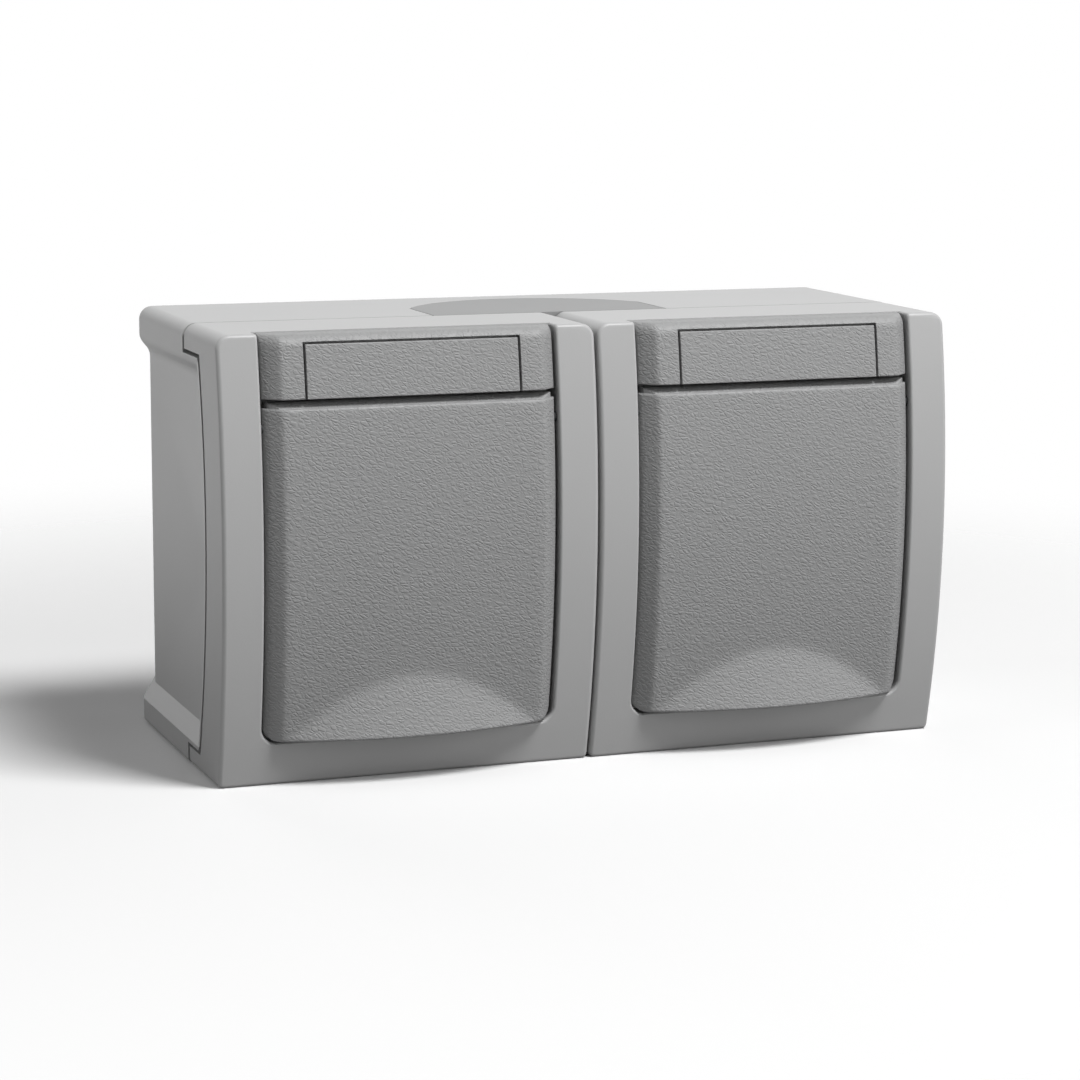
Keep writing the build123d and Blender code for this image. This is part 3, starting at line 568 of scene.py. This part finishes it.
# Leather grain of lids, blocks and labels: flat cells with soft creases between them, pulled along
# one slanting direction and made uneven by a noise that also shifts the cells.
leather_grains = 800.0
leather_slant = -0.4
leather_stretch = 1.9
leather_relief = 0.00010
crease_width = 0.27
warp_per_metre = 700.0
warp_detail = 2.0
warp_reach = 0.0012
leather_roughness = 0.5
leather_change = 0.05

leather, given, result = new_group("leather_grain", ["Grains per metre", "Slant", "Stretch"], "Height")
place = leather.nodes.new("ShaderNodeTexCoord")
turned = leather.nodes.new("ShaderNodeVectorRotate")
turned.rotation_type = "Y_AXIS"
leather.links.new(place.outputs["Object"], turned.inputs["Vector"])
leather.links.new(given.outputs["Slant"], turned.inputs["Angle"])
pulled = leather.nodes.new("ShaderNodeVectorMath")
pulled.operation = "MULTIPLY"
factors = leather.nodes.new("ShaderNodeCombineXYZ")
factors.inputs["X"].default_value = 1.0
factors.inputs["Y"].default_value = 1.0
leather.links.new(given.outputs["Stretch"], factors.inputs["Z"])
leather.links.new(turned.outputs["Vector"], pulled.inputs[0])
leather.links.new(factors.outputs["Vector"], pulled.inputs[1])
warp = leather.nodes.new("ShaderNodeTexNoise")
warp.inputs["Scale"].default_value = warp_per_metre
warp.inputs["Detail"].default_value = warp_detail
leather.links.new(pulled.outputs["Vector"], warp.inputs["Vector"])
shifted = leather.nodes.new("ShaderNodeVectorMath")
shifted.operation = "MULTIPLY_ADD"
shifted.inputs[1].default_value = (warp_reach, warp_reach, warp_reach)
leather.links.new(warp.outputs["Color"], shifted.inputs[0])
leather.links.new(pulled.outputs["Vector"], shifted.inputs[2])
cells = leather.nodes.new("ShaderNodeTexVoronoi")
cells.feature = "DISTANCE_TO_EDGE"
leather.links.new(shifted.outputs["Vector"], cells.inputs["Vector"])
leather.links.new(given.outputs["Grains per metre"], cells.inputs["Scale"])
plateau = leather.nodes.new("ShaderNodeMapRange")
plateau.interpolation_type = "SMOOTHSTEP"
plateau.inputs["From Max"].default_value = crease_width
leather.links.new(cells.outputs["Distance"], plateau.inputs["Value"])
uneven = leather.nodes.new("ShaderNodeMath")
uneven.operation = "MULTIPLY"
leather.links.new(plateau.outputs[0], uneven.inputs[0])
leather.links.new(warp.outputs["Fac"], uneven.inputs[1])
leather.links.new(uneven.outputs[0], result.inputs["Height"])

grained_plastic = bpy.data.materials.new("grained_plastic_finish")
grained_plastic.use_nodes = True
tree = grained_plastic.node_tree
shader = tree.nodes["Principled BSDF"]
shader.inputs["Roughness"].default_value = leather_roughness
tone = add_group(tree, flow_tone, Red=dark_grey[0], Green=dark_grey[1], Blue=dark_grey[2],
                 Change=leather_change)
tree.links.new(tone.outputs["Color"], shader.inputs["Base Color"])
surface = add_group(tree, leather, Grains_per_metre=leather_grains, Slant=leather_slant,
                    Stretch=leather_stretch)
add_bump(tree, shader, surface.outputs["Height"], leather_relief)


for side, centre in gang_centres.items():
    outer = as_points(lid_x, lid_front(lid_x, lid_z), lid_z, centre)
    inner = as_points(inner_x, lid_inside(inner_x, inner_z), inner_z, centre)
    behind = as_points(rim(lid_x), wall_back, rim(lid_z), centre)
    within = as_points(rim(inner_x), wall_back, rim(inner_z), centre)
    piece = put_mesh(side + "_lid_shell", *closed_form(outer, [behind, within], inner), side + "_lid")
    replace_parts(dress(piece, grained_plastic), side + "_lid")
    rib = as_points(rib_radius * np.cos(rib_turn), rib_depth, rib_z, centre)
    dress(put_mesh(side + "_lid_rib", *lofted(rib, around=True), side + "_lid"), grained_plastic)

# Hinge: the lid's barrel, moulded with it, turns on the steel pin of the cover and is a little
# fuller where it shows in the groove above the lid. Its middle is open behind for a torsion spring
# of steel wire, with one leg on the tray and one behind the lid.
barrel_radius = 0.0043
barrel_half_width = 0.0264
barrel_sides = 64
arm_straight_end = 0.0235
arm_long_step = 0.0055
arm_end_step = 0.0004
arch_sides = 20
barrel_margin = 0.0003
barrel_bevel = 0.0034
barrel_swell = 0.00035
swell_start = math.radians(30)
swell_end = math.radians(115)
swell_blend = math.radians(20)
bore_radius = 0.00106
room_radius = 0.0033
room_half_width = 0.007
room_back = 0.001
wire_radius = 0.0003
wire_sides = 10
coil_radius = 0.0019
coil_turns = 7
coil_half_length = 0.0042
coil_steps = 24
first_leg_steps = 8
last_leg_steps = 6
leg_drop = 0.0036
tray_leg = 0.0043
lid_leg = -0.0014


def around_axis(x, radius, angle):
    """Points round the hinge axis, angle 0 in front, kept behind the lid's bow and bevels."""
    z = axis_height + radius * np.sin(angle)
    front = bow(lid_crown, z) - np.maximum(barrel_margin, barrel_bevel - lid_half_width + np.abs(x))
    depth = np.minimum(axis_depth + radius * np.cos(angle), front)
    return np.stack(np.broadcast_arrays(x, -depth, z), -1)


def swollen(angle):
    """Barrel radius, raised by a smooth step between two angles, where it shows above the lid."""
    rise = np.clip((angle - swell_start) / swell_blend, 0, 1)
    fall = np.clip((swell_end - angle) / swell_blend, 0, 1)
    share = rise * fall
    return barrel_radius + barrel_swell * share**2 * (3 - 2 * share)


def wire(path, radius):
    """Tube about a path: circles square to it, each set out from the X axis and the path."""
    along = np.gradient(path, axis=0)
    along /= np.linalg.norm(along, axis=1, keepdims=True)
    side_way = np.cross(along, (1.0, 0.0, 0.0))
    side_way /= np.linalg.norm(side_way, axis=1, keepdims=True)
    up_way = np.cross(side_way, along)
    angle = np.linspace(0, 2 * np.pi, wire_sides + 1)[:-1, None]
    ring = np.cos(angle) * side_way[:, None] + np.sin(angle) * up_way[:, None]
    return lofted(path[:, None] + radius * ring)


barrel_x = steps(room_half_width, (arm_straight_end, arm_long_step),
                 (barrel_half_width, arm_end_step))[:, None]
barrel_turn = np.linspace(0, 2 * np.pi, barrel_sides + 1)[:-1]
end_arm = np.concatenate([around_axis(barrel_x, swollen(barrel_turn), barrel_turn),
                          around_axis(barrel_x, bore_radius, barrel_turn)[::-1]])
arch_outer = np.linspace(0, math.acos(-room_back / barrel_radius), arch_sides + 1)
arch_inner = np.linspace(math.acos(-room_back / room_radius), 0, arch_sides + 1)
arch_x = np.array([[-room_half_width], [room_half_width]])
arch = np.concatenate([around_axis(arch_x, swollen(arch_outer), arch_outer),
                       around_axis(arch_x, room_radius, arch_inner)], 1)
coil_turn = np.linspace(0, 2 * np.pi * coil_turns, coil_steps * coil_turns + 1)
coil = np.stack([np.linspace(-coil_half_length, coil_half_length, coil_turn.size),
                 coil_radius * np.sin(coil_turn), -coil_radius * np.cos(coil_turn)], -1)
first_leg = np.linspace((-coil_half_length, tray_leg, -leg_drop), coil[0], first_leg_steps + 1)[:-1]
last_leg = np.linspace(coil[-1], (coil_half_length, lid_leg, -leg_drop), last_leg_steps + 1)[1:]
spring_path = np.concatenate([first_leg, coil, last_leg]) + (0.0, -axis_depth, axis_height)
for side, centre in gang_centres.items():
    middle = np.array((centre, 0.0, 0.0))
    mirrored = end_arm[:, ::-1] * (-1, 1, 1)
    for name, loops, ring in (("left_arm", mirrored, True), ("right_arm", end_arm, True),
                              ("arch", arch, False)):
        barrel = put_mesh(f"{side}_barrel_{name}", *lofted(loops + middle, ring), side + "_lid")
        dress(barrel, grained_plastic)
    spring = put_mesh(side + "_spring", *wire(spring_path + middle, wire_radius), None)
    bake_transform(spring)
    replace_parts(dress(spring, steel), side + "_lid_spring")

# Hinge block: the fixed dark moulding over the hinge, wrapped onto the top of the cover. A plate
# with the same grain lies in its pocket and covers the label, both bowed like the lid.
block_bottom = 0.02925
block_top = 0.0404
block_seat = 0.0545
block_top_radius = 0.002
block_edge = 0.00025
pocket_half_width = 0.02015
pocket_top = 0.03915
pocket_floor = 0.00155
pocket_edge = 0.00012
pocket_wall = 0.000001
label_half_width = 0.01975
label_top = 0.03875
label_thickness = 0.0015
label_edge = 0.0002
block_edge_steps = 5
pocket_edge_steps = 4
label_edge_steps = 4
top_round_steps = 14
pocket_row_step = 0.0002
block_side_step = 0.0008
plate_step = 0.001


def block_front(x, z):
    """Bow and bevels with a large round along the top, and the sharp-sided pocket cut into them."""
    depth = soft_min(bow(lid_crown, z), bow(lid_crown, z) + lid_half_width - lid_bevel - np.abs(x),
                     bevel_softness)
    depth = depth - edge_drop(block_top - z, block_top_radius)
    depth -= edge_drop(np.minimum(lid_half_width - np.abs(x), z - block_bottom), block_edge)
    beside = np.maximum(np.abs(x) - pocket_half_width, z - pocket_top)
    depth -= edge_drop(beside, pocket_edge)
    return np.where(beside < 0, bow(lid_crown - pocket_floor, z), depth)


pocket_inset = lid_half_width - pocket_half_width
top_round_reach = block_top - pocket_top - 2 * pocket_edge
block_rows = np.concatenate([
    block_bottom + rounding(block_edge, block_edge_steps),
    steps(block_bottom + block_edge, (block_top - block_top_radius, upper_step),
          (pocket_top - pocket_wall, pocket_row_step))[1:],
    pocket_top + pocket_wall + rounding(pocket_edge, pocket_edge_steps),
    block_top - rounding(block_top_radius, top_round_steps, top_round_reach)[::-1]])
block_insets = np.concatenate([
    rounding(block_edge, block_edge_steps)[:-1],
    steps(block_edge, (lid_bevel - bevel_reach, side_step), (lid_bevel + bevel_reach, bevel_step),
          (pocket_inset - pocket_edge, block_side_step))[:-1],
    pocket_inset - pocket_wall - rounding(pocket_edge, pocket_edge_steps)[::-1],
    steps(pocket_inset + pocket_wall, (lid_half_width, plate_step))])
block_x, block_z = outline_grid(block_rows, np.full(block_rows.size, lid_half_width), block_insets)
label_rows = np.concatenate([
    block_bottom + rounding(label_edge, label_edge_steps),
    steps(block_bottom + label_edge, (label_top - label_edge, upper_step))[1:-1],
    label_top - rounding(label_edge, label_edge_steps)[::-1]])
label_insets = np.concatenate([rounding(label_edge, label_edge_steps)[:-1],
                               steps(label_edge, (label_half_width, plate_step))])
label_x, label_z = outline_grid(label_rows, np.full(label_rows.size, label_half_width), label_insets)
label_inside = edge_distance(label_x, label_z, label_half_width, block_bottom, label_top, 0.0)
label_front = bow(lid_crown, label_z) - edge_drop(label_inside, label_edge)
for side, centre in gang_centres.items():
    front = as_points(block_x, block_front(block_x, block_z), block_z, centre)
    behind = as_points(rim(block_x), block_seat, rim(block_z), centre)
    block = put_mesh(side + "_block", *closed_form(front, [behind]), "body")
    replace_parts(dress(block, grained_plastic), side + "_hinge_block")
    front = as_points(label_x, label_front, label_z, centre)
    back_face = as_points(label_x, bow(lid_crown - label_thickness, label_z), label_z, centre)
    label = put_mesh(side + "_label", *closed_form(front, [], back_face), "body")
    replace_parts(dress(label, grained_plastic), side + "_label_insert")

bpy.context.view_layer.update()
